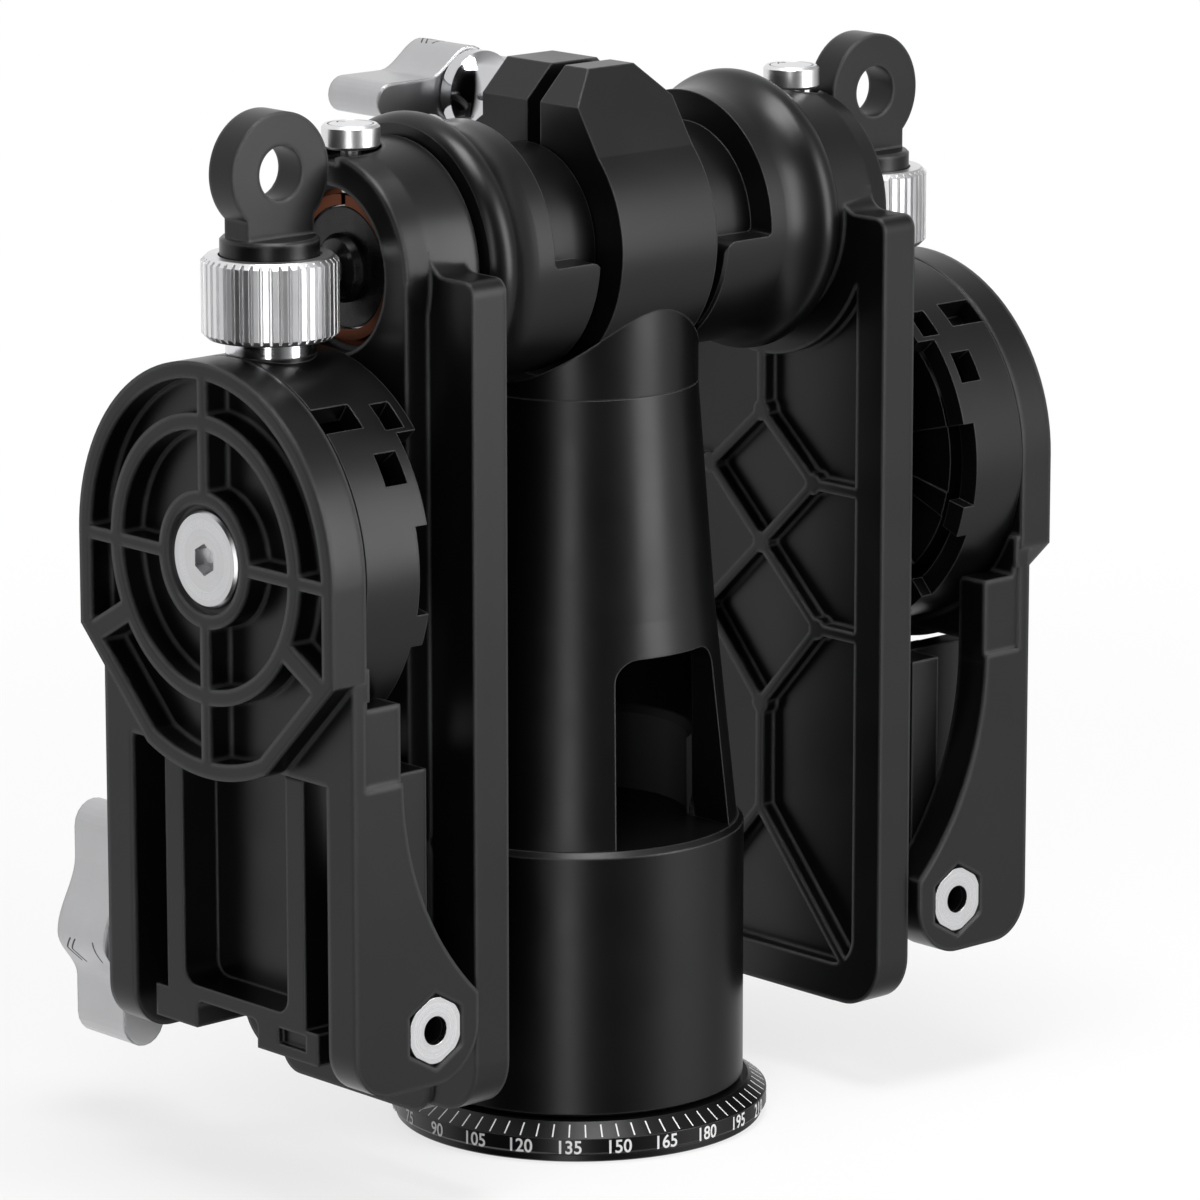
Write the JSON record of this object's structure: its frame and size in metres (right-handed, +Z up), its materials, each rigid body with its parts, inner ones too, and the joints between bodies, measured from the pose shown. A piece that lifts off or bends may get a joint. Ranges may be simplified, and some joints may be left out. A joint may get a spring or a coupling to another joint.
{
  "type": "gimbal head",
  "caption": "Stowed twin-arm gimbal head: a degree dial and housing carry a hollow column, a clamped cross shaft, and drop arms with damped tilt drums and folding platforms.",
  "frame": {"origin": "centre of the base underside, on the pan axis, at the mouth of the tripod thread", "axes": "+Z up the pan axis, +X along the shoulder and tilt axes towards the right arm, -Y towards the front"},
  "size_m": [0.1762, 0.0969, 0.1968],
  "materials": {
    "black_anodised": "fine bead-blasted black anodising, satin",
    "silver_anodised": "satin machined, clear anodised",
    "polished_steel": "polished",
    "machined_steel": "turned",
    "bronze": "sintered bearing bronze",
    "black_steel": "black oxide"
  },
  "bodies": {
    "base": {"base_plate": "black_anodised", "degree_ring": "black_anodised", "thread_insert": "machined_steel", "base_screws": "machined_steel", "pan_spindle": "machined_steel", "spindle_nut": "machined_steel"},
    "turret": {"pan_bearing": "machined_steel", "housing": "black_anodised", "column": "black_anodised", "column_screws": "machined_steel", "column_bolt": "machined_steel", "tee_head": "black_anodised", "tee_collar": "polished_steel"},
    "clamp_lever": {"tee_lever": "silver_anodised", "tee_screw": "machined_steel"},
    "cradle": {"cross_shaft": "machined_steel", "left_hub": "black_anodised", "right_hub": "black_anodised", "left_shaft_washer": "black_steel", "right_shaft_washer": "black_steel", "left_shaft_screw": "black_steel", "right_shaft_screw": "black_steel"},
    "left_arm_group": {"left_arm": "black_anodised", "left_bush": "bronze", "left_drum": "black_anodised", "left_tilt_bearing": "machined_steel", "left_knob_collar": "polished_steel"},
    "left_index": {"left_index_pin": "machined_steel", "left_index_cap": "silver_anodised"},
    "left_knob": {"left_drag_knob": "silver_anodised", "left_drag_screw": "machined_steel"},
    "left_ring": {"left_thumb_ring": "black_anodised"},
    "left_tilt_group": {"left_tilt_axle": "machined_steel", "left_bracket": "black_anodised", "left_tilt_bolt": "silver_anodised", "left_hinge_pin": "machined_steel", "left_hinge_nuts": "silver_anodised", "left_lever_collar": "polished_steel"},
    "left_fold_group": {"left_platform": "black_anodised"},
    "left_lever": {"left_hinge_lever": "silver_anodised", "left_lever_stud": "machined_steel"},
    "right_arm_group": {"right_arm": "black_anodised", "right_bush": "bronze", "right_drum": "black_anodised", "right_tilt_bearing": "machined_steel", "right_knob_collar": "polished_steel"},
    "right_index": {"right_index_pin": "machined_steel", "right_index_cap": "silver_anodised"},
    "right_knob": {"right_drag_knob": "silver_anodised", "right_drag_screw": "machined_steel"},
    "right_ring": {"right_thumb_ring": "black_anodised"},
    "right_tilt_group": {"right_tilt_axle": "machined_steel", "right_bracket": "black_anodised", "right_tilt_bolt": "silver_anodised", "right_hinge_pin": "machined_steel", "right_hinge_nuts": "silver_anodised", "right_lever_collar": "polished_steel"},
    "right_fold_group": {"right_platform": "black_anodised"},
    "right_lever": {"right_hinge_lever": "silver_anodised", "right_lever_stud": "machined_steel"}
  },
  "joints": [
    {"name": "pan", "type": "hinge", "parent": "base", "child": "turret", "pos_m": [0, 0, 0.0074], "axis": [0, 0, 1], "continuous": true},
    {"name": "clamp_lever_turn", "type": "hinge", "parent": "turret", "child": "clamp_lever", "pos_m": [0, 0.0365, 0.1881], "axis": [0, 1, 0], "range_deg": [0, 180]},
    {"name": "cradle_swing", "type": "hinge", "parent": "turret", "child": "cradle", "pos_m": [0, 0, 0.1655], "axis": [1, 0, 0], "range_deg": [-90, 90]},
    {"name": "left_arm_index", "type": "hinge", "parent": "cradle", "child": "left_arm_group", "pos_m": [-0.05, 0, 0.1655], "axis": [1, 0, 0], "range_deg": [-90, 90]},
    {"name": "left_index_press", "type": "slide", "parent": "left_arm_group", "child": "left_index", "axis": [0, 0, -1], "range_m": [0, 0.002], "stiffness_N_per_m": 400, "springref_m": -0.003},
    {"name": "left_knob_turn", "type": "hinge", "parent": "left_arm_group", "child": "left_knob", "pos_m": [-0.07224, 0, 0.1626], "axis": [0, 0, 1], "range_deg": [0, 270]},
    {"name": "left_ring_turn", "type": "hinge", "parent": "left_knob", "child": "left_ring", "pos_m": [-0.07224, 0, 0.1849], "axis": [0, 0, 1], "continuous": true},
    {"name": "left_tilt", "type": "hinge", "parent": "left_arm_group", "child": "left_tilt_group", "pos_m": [-0.0806, 0, 0.1176], "axis": [1, 0, 0], "range_deg": [-90, 90]},
    {"name": "left_fold", "type": "hinge", "parent": "left_tilt_group", "child": "left_fold_group", "pos_m": [-0.065, 0, 0.0352], "axis": [0, -1, 0], "range_deg": [0, 90]},
    {"name": "left_lever_turn", "type": "hinge", "parent": "left_tilt_group", "child": "left_lever", "pos_m": [-0.065, 0.055, 0.0352], "axis": [0, 1, 0], "range_deg": [0, 180]},
    {"name": "right_arm_index", "type": "hinge", "parent": "cradle", "child": "right_arm_group", "pos_m": [0.05, 0, 0.1655], "axis": [1, 0, 0], "range_deg": [-90, 90]},
    {"name": "right_index_press", "type": "slide", "parent": "right_arm_group", "child": "right_index", "axis": [0, 0, -1], "range_m": [0, 0.002], "stiffness_N_per_m": 400, "springref_m": -0.003},
    {"name": "right_knob_turn", "type": "hinge", "parent": "right_arm_group", "child": "right_knob", "pos_m": [0.07224, 0, 0.1626], "axis": [0, 0, 1], "range_deg": [0, 270]},
    {"name": "right_ring_turn", "type": "hinge", "parent": "right_knob", "child": "right_ring", "pos_m": [0.07224, 0, 0.1849], "axis": [0, 0, 1], "continuous": true},
    {"name": "right_tilt", "type": "hinge", "parent": "right_arm_group", "child": "right_tilt_group", "pos_m": [0.0806, 0, 0.1176], "axis": [1, 0, 0], "range_deg": [-90, 90]},
    {"name": "right_fold", "type": "hinge", "parent": "right_tilt_group", "child": "right_fold_group", "pos_m": [0.065, 0, 0.0352], "axis": [0, 1, 0], "range_deg": [0, 90]},
    {"name": "right_lever_turn", "type": "hinge", "parent": "right_tilt_group", "child": "right_lever", "pos_m": [0.065, 0.055, 0.0352], "axis": [0, 1, 0], "range_deg": [0, 180]}
  ]
}
